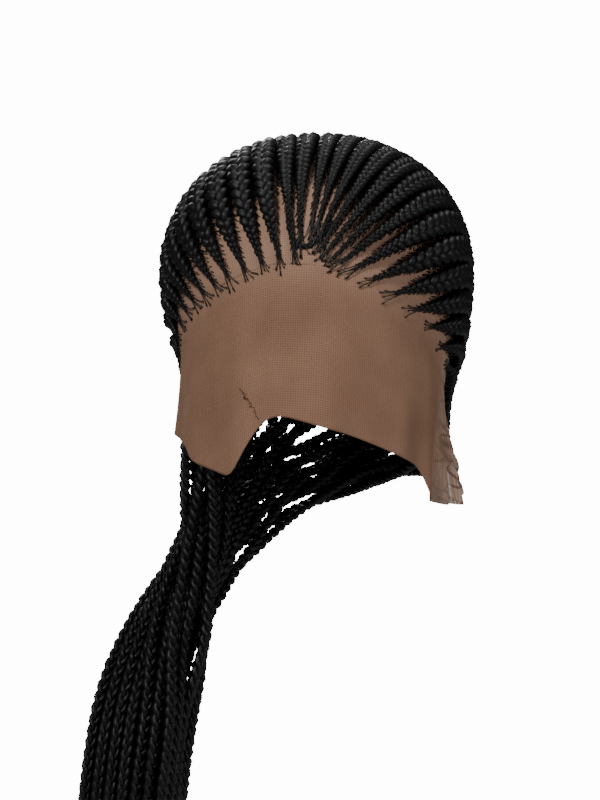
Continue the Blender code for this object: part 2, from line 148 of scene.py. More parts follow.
# Their height over the cap at the start, how much of the row's height they gain, and how late
FEED_LIFT = 0.0002
FEED_RISE = 0.5
FEED_RISE_EASE = 1.5

# Lace front: columns and rows of its mesh, the stretch that lies on the cap, its lift and its wall
LACE_COLUMNS = 240
LACE_ROWS = 84
LACE_BAND = 0.045
LACE_BAND_ROWS = 18
LACE_LIFT = 0.0008
LACE_WALL = 0.00025
LACE_SCAN = 0.0005
HEAD_FRONT = 0.094
LACE_SMOOTHING = 12
# Margin at its two ends by the ears, in degrees
LACE_SIDE_MARGIN = 0.3
# Rows of its mesh below the hairline at which it starts to come free, and over what drop
FREE_FROM_ROWS = 4
FREE_DROP = 0.05
# Soft waves of the free lace
SOFT_WAVE_DEPTH = 0.0005
SOFT_WAVES = (
    # share of the depth, radians for each degree of azimuth, radians at the start, and down the lace
    (1.0, 0.17, 0.0, 2.0), (0.6, 0.43, 1.3, 3.0),
)
# Net: distance between its holes, the level at which a hole starts, and how sharp its edge is
LACE_PITCH = 0.0011
LACE_HOLE = 0.35
NET_SHARPNESS = 1.6
# Stretch across the lace, from its edge by the wearer's right ear, over which it turns more sheer, takes a
# paler colour as painted light from the backdrop behind it, and gets painted crease shade lines
LACE_LOOSE = (0.228, 0.250)
# Free corner in front of the wearer's left ear, which is crumpled
CRUMPLE_FROM = 58
CRUMPLE_TO = 72
CRUMPLE_DEPTH = 0.0056
# Size of the cells of the painted shade lines along the loose corner's creases
CREASE_SHADE_CELL = 0.011
# How it sets in down the lace: slope and start
CRUMPLE_ONSET = (1.6, -0.5)
# Sharp folds: radians for each degree of azimuth and down the lace. Slanting folds: their share first
SHARP_FOLDS = (0.36, 3.6)
SLANTING_FOLDS = (0.5, 0.83, 7.0)
CRUMPLE_MIDDLE = 0.6
# Small pinched fold beside the nose: azimuth and level of its ends, and its thickness
CREASE_START = (-16.6, -0.0423)
CREASE_END = (-9.4, -0.0557)
CREASE_STATIONS = 26
CREASE_RADIUS = 0.00042
CREASE_WANDER = 0.0005
# Height of its middle over the lace, and the range of its thickness, as shares of its radius
CREASE_LIFT = 0.4
CREASE_UNEVEN = (0.4, 1.3)
CREASE_SIDES = 6

# Thin tubes: their sides, and the offset that gives the way out from a point below the head's middle,
# by which their rings are set
THIN_SIDES = 4
RING_OFFSET = (0.0, 0.0, 0.2)
# Way round and along the short hairs in their UV maps
SHORT_HAIR_GIRTH = 0.001
ROOT_HAIR_MAP = 0.01
FEED_MAP = 0.005

# Places at which a ramp's two colours start and end
RAMP_ENDS = (0.3, 0.7)

# Hair: linear colours, roughness and fibres
HAIR_COLOURS = ((0.0014, 0.0014, 0.0016), (0.0040, 0.0038, 0.0040))
HAIR_ROUGHNESS = (0.36, 0.58)
HAIR_SPECULAR = 0.30
FIBRE_WIDTH = 0.00032
FIBRE_LENGTH = 0.0045
FIBRE_BUMP = 0.55
FIBRE_DEPTH = 0.0004
# Noises of the fibres and of the locks: width in widths of a fibre, and detail
FIBRE_NOISES = ((1.0, 3.0), (4.5, 1.0))
SHORT_HAIR_COLOUR = (0.006, 0.005, 0.005)
SHORT_HAIR_ROUGHNESS = 0.5

# Cap's lace: size of its meshes, and its cloudy patches for each metre; its net is painted darker as shade
# where it is sunken
CAP_MESH = 0.0009
CAP_PATCHES = 60
CAP_COLOURS = ((0.30, 0.165, 0.105), (0.42, 0.235, 0.155))
CAP_MESH_SHADE_COLOUR = (0.24, 0.13, 0.085)
CAP_MESH_SHADE_SHARE = 0.6
CAP_ROUGHNESS = 0.75
CAP_BUMP = 0.35
NET_DEPTH = 0.0002

# Lace front: its cloudy patches for each metre, and the colours of the net, of the part in the partings,
# of its loose corner, paler as painted light from the white backdrop behind it, and of its holes, its creases
# and the pinched fold, darker as painted shade
LACE_PATCHES = 35
LACE_COLOURS = ((0.29, 0.15, 0.09), (0.36, 0.195, 0.12))
PARTING_COLOUR = (0.42, 0.245, 0.165)
LOOSE_PAINTED_LIGHT_COLOUR = (0.50, 0.34, 0.25)
HOLE_SHADE_COLOUR = (0.10, 0.045, 0.025)
CREASE_LINE_SHADE_COLOUR = (0.12, 0.055, 0.035)
FOLD_SHADE_COLOUR = (0.13, 0.062, 0.038)
# Colour of the pinched fold: darker than the net as painted shade in the fold
# Where the partings' colour gives way to the net's, as shares of the band on the cap
PARTING_EDGE = (0.8, 1.2)
# How much of their painted shade the holes and the creases take, and how wide a crease's painted shade line
# is in its cell
HOLE_SHADE_SHARE = 0.42
CREASE_LINE_SHADE_SHARE = 0.8
CREASE_LINE_SHADE_WIDTH = (0.02, 0.10)
# How much of a hole is open where the lace lies close and where it is loose
OPENNESS = (0.04, 0.17)
LACE_ROUGHNESS = 0.8
LACE_BUMP = 0.3

# Camera, fitted to the photograph's frame, which is this many pixels high
PHOTO_HEIGHT = 800
FOCAL_PIXELS = 912
SENSOR = 36
CAMERA_TARGET = (-0.0066, -0.020, -0.0645)
CAMERA_AZIMUTH = 6.5
CAMERA_ELEVATION = 14
CAMERA_DISTANCE = 0.505
CAMERA_ROLL = 1.2
CAMERA_NEAREST = 0.01

# Floor
FLOOR_LEVEL = -0.54
FLOOR_SIZE = 6.0
FLOOR_GREY = (0.5, 0.5, 0.5)
FLOOR_ROUGHNESS = 0.9

# Light: how bright the white backdrop looks, how much light it gives, and the lamps
BACKDROP_SEEN = 14.0
WORLD_LIGHT = 0.07
WORLD_COLOUR = (0.9, 0.93, 1.0)
WHITE = (1, 1, 1)
LAMP_AIM = (0, 0, -0.06)
LAMPS = (
    # name, place, size, watts
    ("key_lamp", (-0.5, -1.0, 0.9), 0.35, 13), ("fill_lamp", (1.0, -0.8, 0.3), 0.5, 5),
    ("top_lamp", (0.1, 0.3, 1.2), 0.5, 6), ("back_lamp", (-0.5, 1.3, 0.5), 0.6, 10),
)

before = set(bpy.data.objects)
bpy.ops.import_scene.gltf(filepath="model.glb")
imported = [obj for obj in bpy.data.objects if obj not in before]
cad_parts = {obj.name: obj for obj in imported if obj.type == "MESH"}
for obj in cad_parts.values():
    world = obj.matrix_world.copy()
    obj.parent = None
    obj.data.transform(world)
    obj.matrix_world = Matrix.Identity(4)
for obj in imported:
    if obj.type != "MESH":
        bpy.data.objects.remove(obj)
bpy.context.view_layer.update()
chance = np.random.default_rng(14)


def unit(vectors):
    """Vectors of length one."""
    return vectors / np.linalg.norm(vectors, axis=-1, keepdims=True)


def travelled_along(points):
    """Length of a path up to each of its points."""
    steps = np.linalg.norm(np.diff(points, axis=0), axis=1)
    return np.concatenate([[0], np.cumsum(steps)])


def merged(node):
    """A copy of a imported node's mesh with its loose triangles joined."""
    form = bmesh.new()
    form.from_mesh(node.data)
    bmesh.ops.remove_doubles(form, verts=form.verts, dist=DOUBLES)
    form.verts.ensure_lookup_table()
    return form


def node_rings(name, corners, first):
    """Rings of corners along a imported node, from the ring round the corner that comes first."""
    form = merged(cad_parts[name])
    start = min(form.verts, key=lambda vertex: first(vertex.co))
    ring = sorted(form.verts, key=lambda vertex: (vertex.co - start.co).length)[:corners]
    seen = set()
    rings = []
    while ring:
        seen.update(ring)
        rings.append(np.array([vertex.co for vertex in ring], float))
        beyond = {edge.other_vert(vertex) for vertex in ring for edge in vertex.link_edges} - seen
        ring = sorted(beyond, key=lambda vertex: vertex.index)
    form.free()
    return rings


def row_section(ring, along):
    """Middle of a row's underside, its upright direction, its width and its height, from one ring."""
    middle = ring.mean(0)
    across = unit(np.cross(along, ring[0] - middle))
    level = np.cross(across, along)
    turn = np.arctan2((ring - middle) @ across, (ring - middle) @ level)
    ring = ring[np.argsort(turn)]
    lengths = np.linalg.norm(np.roll(ring, -1, 0) - ring, axis=1)
    ring = np.roll(ring, -int(lengths.argmax()), 0)
    base = (ring[0] + ring[1]) / 2
    upright = ring[4] - base
    return base, upright / np.linalg.norm(upright), np.linalg.norm(ring[2] - ring[6]), np.linalg.norm(upright)


def smooth_along(knots, values, places):
    """Values at places along a path, on a smooth curve through the values at its knots."""
    slopes = np.gradient(values, knots, axis=0)
    index = np.clip(np.searchsorted(knots, places, side="right") - 1, 0, len(knots) - 2)
    span = knots[index + 1] - knots[index]
    share = (places - knots[index]) / span
    if values.ndim > 1:
        share, span = share[:, None], span[:, None]
    rest = 1 - share
    return ((1 + 2 * share) * rest ** 2 * values[index] + share * rest ** 2 * span * slopes[index]
            + share ** 2 * (3 - 2 * share) * values[index + 1] - share ** 2 * rest * span * slopes[index + 1])


def row_course(name):
    """Fine course of a cornrow: middle of its underside, upright, width and height."""
    rings = node_rings(name, ROW_CORNERS, lambda corner: corner.y)
    middles = np.array([ring.mean(0) for ring in rings])
    alongs = unit(np.gradient(middles, axis=0))
    sections = [row_section(ring, along) for ring, along in zip(rings, alongs)]
    base, upright, width, height = (np.array(part) for part in zip(*sections))
    knots = travelled_along(base)
    places = np.linspace(0, knots[-1], max(LEAST_COURSE, int(knots[-1] / FINE_STEP)))
    return {"base": smooth_along(knots, base, places), "upright": unit(smooth_along(knots, upright, places)),
            "width": np.interp(places, knots, width), "height": np.interp(places, knots, height)}


def braid_course(name, upright):
    """Fine course of a free braid from the cap to its tip: middle, and a sideways turned upright."""
    rings = node_rings(name, BRAID_CORNERS, lambda corner: corner.z)[::-1]
    middles = np.array([ring.mean(0) for ring in rings])
    lead = middles[0] - unit(middles[1] - middles[0]) * BRAID_TUCK
    middles = np.concatenate([[lead], middles])
    knots = travelled_along(middles)
    places = np.linspace(0, knots[-1], int(knots[-1] / FINE_STEP))
    points = smooth_along(knots, middles, places)
    for _ in range(BRAID_SMOOTHING):
        points[1:-1] = (points[:-2] + 2 * points[1:-1] + points[2:]) / 4
    alongs = unit(np.gradient(points, axis=0))
    uprights = []
    for along in alongs:
        upright = upright - along * (upright @ along)
        upright = upright / np.linalg.norm(upright)
        uprights.append(upright)
    return {"base": points, "upright": np.array(uprights)}


def strands_of(course, width, thickness, period, lift, stations, sides, spread):
    """Vertices of a plait's strands, ring by ring, and the texture place of each ring."""
    base = course["base"]
    upright = course["upright"]
    arc = travelled_along(base)
    along = unit(np.gradient(base, axis=0))
    across = unit(np.cross(along, upright))
    upright = np.cross(across, along)
    turned = np.concatenate([[0], np.cumsum(np.diff(arc) * 2 * math.pi / ((period[1:] + period[:-1]) / 2))])
    count = max(LEAST_PLAIT, int(turned[-1] / (2 * math.pi) * stations))
    turns = np.linspace(0, turned[-1], count)
    places = np.interp(turns, turned, arc)

    def at(values):
        if values.ndim == 1:
            return np.interp(places, arc, values)
        return np.stack([np.interp(places, arc, values[:, axis]) for axis in range(3)], 1)

    base, across, upright = at(base), unit(at(across)), unit(at(upright))
    width, thickness, lift, spread = at(width), at(thickness), at(lift), at(spread)
    around = np.arange(sides) * 2 * math.pi / sides
    rings = []
    for strand in range(STRANDS):
        phase = turns + strand * 2 * math.pi / STRANDS
        sway = np.sin(phase) * SWAY * width * spread
        rise = np.sin(2 * phase) * RISE * thickness * spread
        points = base + across * sway[:, None] + upright * (lift + rise)[:, None]
        heading = unit(np.gradient(points, axis=0))
        beside = unit(np.cross(upright, heading))
        outward = np.cross(heading, beside)
        uneven = np.sin(turns * chance.uniform(*UNEVEN_WAVES) + chance.uniform(0, 2 * math.pi))
        uneven = 1 + UNEVENNESS * uneven
        half_width = (STRAND_HALF_WIDTH * width * uneven)[:, None, None]
        half_thickness = (STRAND_HALF_THICKNESS * thickness * uneven)[:, None, None]
        ring = (points[:, None] + beside[:, None] * np.cos(around)[None, :, None] * half_width
                + outward[:, None] * np.sin(around)[None, :, None] * half_thickness)
        rings.append(ring)
    return np.array(rings), places


def tube_object(name, tubes, places, girth, finish):
    """One object of capped tubes, with a UV map in metres: round the tube and along it."""
    count, stations, sides = tubes.shape[:3]
    index = np.arange(count * stations * sides).reshape(count, stations, sides)
    following = np.roll(index, -1, axis=2)
    quads = np.stack([index[:, :-1], following[:, :-1], following[:, 1:], index[:, 1:]], -1).reshape(-1, 4)
    caps = [ring[::-1].tolist() for ring in index[:, 0]] + [ring.tolist() for ring in index[:, -1]]
    mesh = bpy.data.meshes.new(name)
    mesh.from_pydata(tubes.reshape(-1, 3).tolist(), [], quads.tolist() + caps)
    side = np.arange(sides) / sides * girth
    step = girth / sides
    left = np.broadcast_to(side[None, None, :], (count, stations - 1, sides))
    low = np.broadcast_to(places[None, :-1, None], left.shape)
    high = np.broadcast_to(places[None, 1:, None], left.shape)
    shift = np.broadcast_to((np.arange(count) * girth * FIBRE_SHIFT)[:, None, None], left.shape)
    corners = [(left, low), (left + step, low), (left + step, high), (left, high)]
    uv = np.stack([np.stack([across + shift, up], -1) for across, up in corners], -2).reshape(-1, 2)
    uv = np.concatenate([uv, np.zeros((2 * count * sides, 2))])
    layer = mesh.uv_layers.new(name="UVMap")
    layer.data.foreach_set("uv", uv.astype(np.float32).ravel())
    mesh.polygons.foreach_set("use_smooth", np.ones(len(mesh.polygons), bool))
    mesh.materials.append(finish)
    mesh.update()
    made = bpy.data.objects.new(name, mesh)
    bpy.context.scene.collection.objects.link(made)
    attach(made, "root")
    return made


def make_row(side, number, course, finish):
    """One cornrow as a plait that grows from thin hairs at the hairline."""
    name = f"cornrow_{side}_{number:02d}"
    fullness = np.interp(travelled_along(course["base"]), *zip(*ROW_FULLNESS))
    width = course["width"] * fullness
    height = course["height"] * np.minimum(fullness, ROW_HEIGHT_FULLNESS)
    period = np.maximum(width * ROW_PERIOD_SHARE, ROW_SHORTEST_PERIOD)
    rings, places = strands_of(course, width, height, period, height / 2, ROW_STATIONS, ROW_SIDES,
                               np.ones_like(width))
    plait = tube_object(f"plaited_{name}", rings, places, 2 * STRAND_HALF_WIDTH * width.max(), finish)
    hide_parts(name)
    return plait


def make_braid(side, number, course, finish):
    """One free braid as a plait with a loose tip."""
    name = f"braid_{side}_{number:02d}"
    arc = travelled_along(course["base"])
    share = arc / arc[-1]
    tip = np.clip((arc[-1] - arc) / BRAID_TIP, 0, 1)
    fullness = BRAID_TIP_SHARE + (1 - BRAID_TIP_SHARE) * np.sqrt(tip)
    slim = 1 - BRAID_SLIMMING * share
    width = BRAID_WIDTH * slim * fullness
    thickness = BRAID_THICKNESS * slim * fullness
    period = BRAID_FIRST_PERIOD + (BRAID_LAST_PERIOD - BRAID_FIRST_PERIOD) * share
    rings, places = strands_of(course, width, thickness, period, np.zeros_like(arc), BRAID_STATIONS,
                               BRAID_SIDES, TIP_SWAY_SHARE + (1 - TIP_SWAY_SHARE) * tip)
    plait = tube_object(f"plaited_{name}", rings, places, 2 * STRAND_HALF_WIDTH * BRAID_WIDTH, finish)
    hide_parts(name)
    return plait


def direction(azimuth, elevation):
    """Unit vector at an azimuth from the face towards the wearer's left, and an elevation, in radians."""
    return Vector((math.sin(azimuth) * math.cos(elevation), -math.cos(azimuth) * math.cos(elevation),
                   math.sin(elevation)))


def node_tree(name):
    """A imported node's surface, to measure where its skin lies."""
    form = merged(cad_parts[name])
    tree = BVHTree.FromBMesh(form)
    form.free()
    return tree


def outer_skin(cap, azimuth, elevation, lift):
    """Point over the cap's outer skin in a direction from its middle."""
    way = direction(azimuth, elevation)
    place, normal, _, _ = cap.ray_cast(way * RAY_START, -way)
    return place + normal * lift


def lace_reach(front, azimuth, level):
    """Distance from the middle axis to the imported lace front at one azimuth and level, or None."""
    way = direction(azimuth, 0.0)
    place = front.ray_cast(Vector((0, 0, level)), way)[0]
    return None if place is None else math.hypot(place.x, place.y)


def lace_column(front, cap, azimuth):
    """Points of the lace front down one column: the band that lies on the cap, then the free lace."""
    low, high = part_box("lace_front")
    levels = np.arange(high.z, low.z, -LACE_SCAN)
    held = [level for level in levels if lace_reach(front, azimuth, float(level)) is not None]
    top, bottom = float(held[0]), float(held[-1])
    way = direction(azimuth, 0.0)
    column = []
    rise = math.atan2(top, lace_reach(front, azimuth, top))
    for row in range(LACE_BAND_ROWS, 0, -1):
        reach = math.hypot(top, lace_reach(front, azimuth, top))
        column.append(outer_skin(cap, azimuth, rise + LACE_BAND / reach * row / LACE_BAND_ROWS, LACE_LIFT))
    for level in np.linspace(top, bottom, LACE_ROWS - LACE_BAND_ROWS):
        reach = lace_reach(front, azimuth, float(level)) + LACE_LIFT
        column.append(Vector((way.x * reach, way.y * reach, float(level))))
    return column


def smoothed(grid):
    """A grid of points with its facets evened out, its four edges kept."""
    for _ in range(LACE_SMOOTHING):
        inner = (grid[:-2, 1:-1] + grid[2:, 1:-1] + grid[1:-1, :-2] + grid[1:-1, 2:]) / 4
        grid[1:-1, 1:-1] = inner
        grid[1:-1, 0] = (grid[:-2, 0] + grid[2:, 0]) / 2
        grid[1:-1, -1] = (grid[:-2, -1] + grid[2:, -1]) / 2
    return grid


def crumpled(grid, azimuths):
    """The lace front's grid with its soft folds and the crumpled corner."""
    outward = unit(grid * (1, 1, 0))
    first = LACE_BAND_ROWS + FREE_FROM_ROWS
    free = np.clip((grid[:, first:first + 1, 2] - grid[..., 2]) / FREE_DROP, 0, 1)
    turn = np.degrees(azimuths)[:, None]
    waves = sum(share * np.sin(turn * often + start + lean * free)
                for share, often, start, lean in SOFT_WAVES)
    onset, late = CRUMPLE_ONSET
    loose = np.clip((turn - CRUMPLE_FROM) / (CRUMPLE_TO - CRUMPLE_FROM), 0, 1)
    loose = loose * np.clip(free * onset + late, 0, 1)
    often, lean = SHARP_FOLDS
    folds = np.abs(np.sin(turn * often + lean * free ** 2))
    share, often, lean = SLANTING_FOLDS
    folds = folds + share * np.sin(turn * often - lean * free)
    shift = SOFT_WAVE_DEPTH * waves * free + CRUMPLE_DEPTH * (folds - CRUMPLE_MIDDLE) * loose
    return grid + outward * shift[..., None]


def make_lace_front(finish):
    """The sheer lace front: a net sheet from the cap's hairline down over the brow, cut roughly below."""
    front = node_tree("lace_front")
    cap = node_tree("lace_cap")
    corners = np.array([corner.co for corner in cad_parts["lace_front"].data.vertices], float)
    turns = np.arctan2(corners[:, 0], -corners[:, 1])
    margin = math.radians(LACE_SIDE_MARGIN)
    azimuths = np.linspace(turns.min() + margin, turns.max() - margin, LACE_COLUMNS)
    grid = np.array([[tuple(point) for point in lace_column(front, cap, float(turn))] for turn in azimuths])
    grid = crumpled(smoothed(grid), azimuths)
    bpy.ops.mesh.primitive_grid_add(x_subdivisions=LACE_COLUMNS - 1, y_subdivisions=LACE_ROWS - 1, size=1)
    lace = bpy.context.object
    lace.name = "lace_front_net"
    mesh = lace.data
    column = np.array([round((corner.co.x + 0.5) * (LACE_COLUMNS - 1)) for corner in mesh.vertices])
    row = np.array([round((0.5 - corner.co.y) * (LACE_ROWS - 1)) for corner in mesh.vertices])
    across = travelled_along(grid[:, LACE_BAND_ROWS])
    down = np.array([travelled_along(line) for line in grid])
    mesh.vertices.foreach_set("co", grid[column, row].ravel())
    uv = np.stack([across[column], down[column, row]], -1)
    for loop, place in zip(mesh.loops, mesh.uv_layers.active.data):
        place.uv = uv[loop.vertex_index]
    mesh.uv_layers.active.name = "UVMap"
    bpy.ops.object.mode_set(mode="EDIT")
    bpy.ops.mesh.select_all(action="SELECT")
    bpy.ops.mesh.normals_make_consistent(inside=False)
    bpy.ops.object.mode_set(mode="OBJECT")
    mesh.update()
    middle = mesh.polygons[len(mesh.polygons) // 2]
    if middle.normal.dot(middle.center) < 0:
        mesh.flip_normals()
    wall = lace.modifiers.new("wall", "SOLIDIFY")
    wall.thickness = LACE_WALL
    wall.offset = 1.0
    bpy.ops.object.modifier_apply(modifier="wall")
    bpy.ops.object.shade_smooth()
    mesh.materials.append(finish)
    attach(lace, "root")
    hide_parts("lace_front")
    return lace


def lace_surface(lace):
    """The outer skin of the cap and the lace front, to lay short hairs on."""
    form = merged(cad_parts["lace_cap"])
    form.from_mesh(lace.data)
    tree = BVHTree.FromBMesh(form)
    form.free()
    return tree


def laid_on(tree, points, lift):
    """Points brought to the lace's surface and lifted off it, away from the head's middle."""
    laid = []
    for point, rise in zip(points, lift):
        place, normal, _, _ = tree.find_nearest(Vector(point))
        if normal.dot(place) < 0:
            normal = -normal
        laid.append(np.array(place + normal * float(rise)))
    return np.array(laid)


def thin_tubes(paths, radii, sides=THIN_SIDES):
    """Rings of vertices round thin paths, all with the same number of stations."""
    paths = np.array(paths)
    heading = unit(np.gradient(paths, axis=1))
    helper = unit(paths + RING_OFFSET)
    beside = unit(np.cross(helper, heading))
    outward = np.cross(heading, beside)
    around = np.arange(sides) * 2 * math.pi / sides
    radii = np.broadcast_to(radii, paths.shape[:2])[..., None, None]
    return (paths[:, :, None] + beside[:, :, None] * np.cos(around)[:, None] * radii
            + outward[:, :, None] * np.sin(around)[:, None] * radii)


def root_hairs(course, tree):
    """Splayed hairs that run from a row's first stitches out over the lace."""
    base = course["base"]
    arc = travelled_along(base)
    heading = unit(base[0] - base[min(ROOT_HEADING_STEPS, len(base) - 1)])
    beside = unit(np.cross(course["upright"][0], heading))
    paths = []
    for spread in np.linspace(-1, 1, ROOT_HAIRS):
        leaving = ROOT_HAIR_FROM * chance.uniform(ROOT_HAIR_NEAREST, 1.0)
        begin = base[min(np.searchsorted(arc, leaving), len(base) - 1)]
        jitter = chance.uniform(-ROOT_HAIR_JITTER, ROOT_HAIR_JITTER)
        angle = math.radians(spread * ROOT_HAIR_SPREAD + jitter)
        length = chance.uniform(*ROOT_HAIR_LENGTH)
        end = base[0] + (heading * math.cos(angle) + beside * math.sin(angle)) * length
        middle = base[0] + (heading * ROOT_BEND_AHEAD + beside * spread * ROOT_BEND_ASIDE) * length
        share = np.linspace(0, 1, ROOT_STATIONS)[:, None]
        curve = (1 - share) ** 2 * begin + 2 * share * (1 - share) * middle + share ** 2 * end
        lift = ROOT_LIFT + ROOT_ROW_LIFT * (1 - share[:, 0])
        lift = lift + ROOT_ARCH_LIFT * np.sin(share[:, 0] * math.pi)
        paths.append(laid_on(tree, curve, lift))
    return paths


def feed_hairs(course, tree):
    """Short hairs that are picked up beside a row and run back into it, on both sides."""
    base = course["base"]
    arc = travelled_along(base)
    fullness = np.interp(arc, *zip(*ROW_FULLNESS))
    half_width = course["width"] * fullness / 2
    across = unit(np.cross(unit(np.gradient(base, axis=0)), course["upright"]))
    paths = []
    for place in np.arange(FEED_FIRST, min(FEED_REACH, arc[-1] * FEED_ROW_SHARE), FEED_STEP):
        for side in (-1, 1):
            here = place + chance.uniform(-0.5, 0.5) * FEED_STEP
            one = min(np.searchsorted(arc, here), len(arc) - 1)
            back = here + FEED_BACK * chance.uniform(*FEED_BACK_RANGE)
            two = min(np.searchsorted(arc, back), len(arc) - 1)
            out = half_width[one] + FEED_OUT * chance.uniform(0.0, 1.0)
            begin = base[one] + across[one] * side * out
            end = base[two] + across[two] * side * half_width[two] * FEED_DEPTH_SHARE
            share = np.linspace(0, 1, FEED_STATIONS)[:, None]
            curve = begin * (1 - share) + end * share
            rise = FEED_LIFT + share[:, 0] ** FEED_RISE_EASE * course["height"][two] * FEED_RISE
            paths.append(laid_on(tree, curve, rise))
    return paths


def make_arch(cap, finish):
    """The thin plait that turns round in the middle of the hairline."""
    knots = np.array([tuple(outer_skin(cap, math.radians(azimuth), math.radians(elevation), ARCH_LIFT))
                      for azimuth, elevation in ARCH_COURSE])
    travelled = travelled_along(knots)
    places = np.linspace(0, travelled[-1], int(travelled[-1] / FINE_STEP))
    base = smooth_along(travelled, knots, places)
    slim = np.interp(places / places[-1], *zip(*ARCH_FULLNESS))
    course = {"base": base, "upright": unit(base)}
    height = ARCH_HEIGHT * slim
    period = np.full_like(slim, ARCH_PERIOD)
    rings, stations = strands_of(course, ARCH_WIDTH * slim, height, period, height / 2, ROW_STATIONS,
                                 ROW_SIDES, np.ones_like(slim))
    girth = ARCH_WIDTH * ARCH_GIRTH_SHARE
    return tube_object("hairline_arch", rings, stations, girth, finish)


def make_crease(tree, finish):
    """The pinched fold of the lace beside the nose: a thin uneven ridge, coloured dark as painted shade in
    the fold.
    """
    turns, levels = np.linspace(CREASE_START, CREASE_END, CREASE_STATIONS).T
    points = np.array([tuple(direction(math.radians(turn), 0.0) * HEAD_FRONT) for turn in turns])
    points[:, 2] = levels
    points[:, 0] += chance.normal(0, CREASE_WANDER, CREASE_STATIONS)
    points[:, 2] += chance.normal(0, CREASE_WANDER, CREASE_STATIONS)
    path = laid_on(tree, points, np.full(CREASE_STATIONS, CREASE_RADIUS * CREASE_LIFT))
    girth = CREASE_RADIUS * chance.uniform(*CREASE_UNEVEN, CREASE_STATIONS)
    ridge = thin_tubes([path], girth, CREASE_SIDES)
    return tube_object("lace_crease", ridge, travelled_along(path), 2 * math.pi * CREASE_RADIUS, finish)


def group_tree(name, inputs, outputs):
    """A new shader node group with its named sockets."""
    group = bpy.data.node_groups.new(name, "ShaderNodeTree")
    for label, kind in inputs:
        group.interface.new_socket(name=label, in_out="INPUT", socket_type=kind)
    for label, kind in outputs:
        group.interface.new_socket(name=label, in_out="OUTPUT", socket_type=kind)
    entry = group.nodes.new("NodeGroupInput")
    leave = group.nodes.new("NodeGroupOutput")
    return group, entry, leave


def math_node(tree, operation, first, second=None):
    """A maths node fed by sockets or numbers, and its output."""
    node = tree.nodes.new("ShaderNodeMath")
    node.operation = operation
    for socket, value in zip(node.inputs, (first, second)):
        if value is None:
            continue
        if isinstance(value, (int, float)):
            socket.default_value = value
        else:
            tree.links.new(value, socket)
    return node.outputs[0]


def fibre_group():
    """Fine hair fibres that run along a strand."""
    group, entry, leave = group_tree(
        "hair_fibres",
        (("Vector", "NodeSocketVector"), ("Fibre width", "NodeSocketFloat"),
         ("Fibre length", "NodeSocketFloat")),
        (("Fibres", "NodeSocketFloat"), ("Locks", "NodeSocketFloat")))
    split = group.nodes.new("ShaderNodeSeparateXYZ")
    group.links.new(entry.outputs["Vector"], split.inputs[0])
    noises = []
    for wide, detail in FIBRE_NOISES:
        across = math_node(group, "DIVIDE", split.outputs[0], entry.outputs["Fibre width"])
        across = math_node(group, "DIVIDE", across, wide)
        along = math_node(group, "DIVIDE", split.outputs[1], entry.outputs["Fibre length"])
        join = group.nodes.new("ShaderNodeCombineXYZ")
        group.links.new(across, join.inputs[0])
        group.links.new(along, join.inputs[1])
        noise = group.nodes.new("ShaderNodeTexNoise")
        noise.inputs["Scale"].default_value = 1.0
        noise.inputs["Detail"].default_value = detail
        group.links.new(join.outputs[0], noise.inputs["Vector"])
        noises.append(noise.outputs["Fac"])
    group.links.new(noises[0], leave.inputs["Fibres"])
    group.links.new(noises[1], leave.inputs["Locks"])
    return group


def net_group():
    """A fine net with round holes: 1 on the threads and 0 in the holes."""
    group, entry, leave = group_tree(
        "lace_net",
        (("Vector", "NodeSocketVector"), ("Pitch", "NodeSocketFloat"), ("Hole", "NodeSocketFloat")),
        (("Thread", "NodeSocketFloat"),))
    split = group.nodes.new("ShaderNodeSeparateXYZ")
    group.links.new(entry.outputs["Vector"], split.inputs[0])
    waves = []
    for axis in (0, 1):
        turns = math_node(group, "DIVIDE", split.outputs[axis], entry.outputs["Pitch"])
        waves.append(math_node(group, "COSINE", math_node(group, "MULTIPLY", turns, 2 * math.pi)))
    total = math_node(group, "ADD", *waves)
    hole = math_node(group, "SUBTRACT", total, entry.outputs["Hole"])
    hole = math_node(group, "MULTIPLY", hole, NET_SHARPNESS)
    clamp = group.nodes.new("ShaderNodeClamp")
    group.links.new(hole, clamp.inputs["Value"])
    thread = math_node(group, "SUBTRACT", 1.0, clamp.outputs[0])
    group.links.new(thread, leave.inputs["Thread"])
    return group


def ramp(tree, factor, dark, light):
    """A colour ramp between two colours, and its output."""
    node = tree.nodes.new("ShaderNodeValToRGB")
    node.color_ramp.elements[0].position = RAMP_ENDS[0]
    node.color_ramp.elements[1].position = RAMP_ENDS[1]
    node.color_ramp.elements[0].color = (*dark, 1)
    node.color_ramp.elements[1].color = (*light, 1)
    tree.links.new(factor, node.inputs["Fac"])
    return node.outputs["Color"]


def spread_over(tree, factor, low, high):
    """A value from low to high as the factor goes from 0 to 1."""
    node = tree.nodes.new("ShaderNodeMapRange")
    node.inputs["To Min"].default_value = low
    node.inputs["To Max"].default_value = high
    tree.links.new(factor, node.inputs["Value"])
    return node.outputs["Result"]


def between(tree, value, start, end):
    """0 before the start, 1 after the end and an even rise from one to the other."""
    node = tree.nodes.new("ShaderNodeMapRange")
    node.inputs["From Min"].default_value = start
    node.inputs["From Max"].default_value = end
    tree.links.new(value, node.inputs["Value"])
    return node.outputs["Result"]


def mixed(tree, factor, first, second):
    """A mix of two colours or colour sockets, and its output."""
    node = tree.nodes.new("ShaderNodeMix")
    node.data_type = "RGBA"
    tree.links.new(factor, node.inputs["Factor"])
    for label, colour in (("A", first), ("B", second)):
        if isinstance(colour, tuple):
            node.inputs[label].default_value = (*colour, 1)
        else:
            tree.links.new(colour, node.inputs[label])
    return node.outputs["Result"]


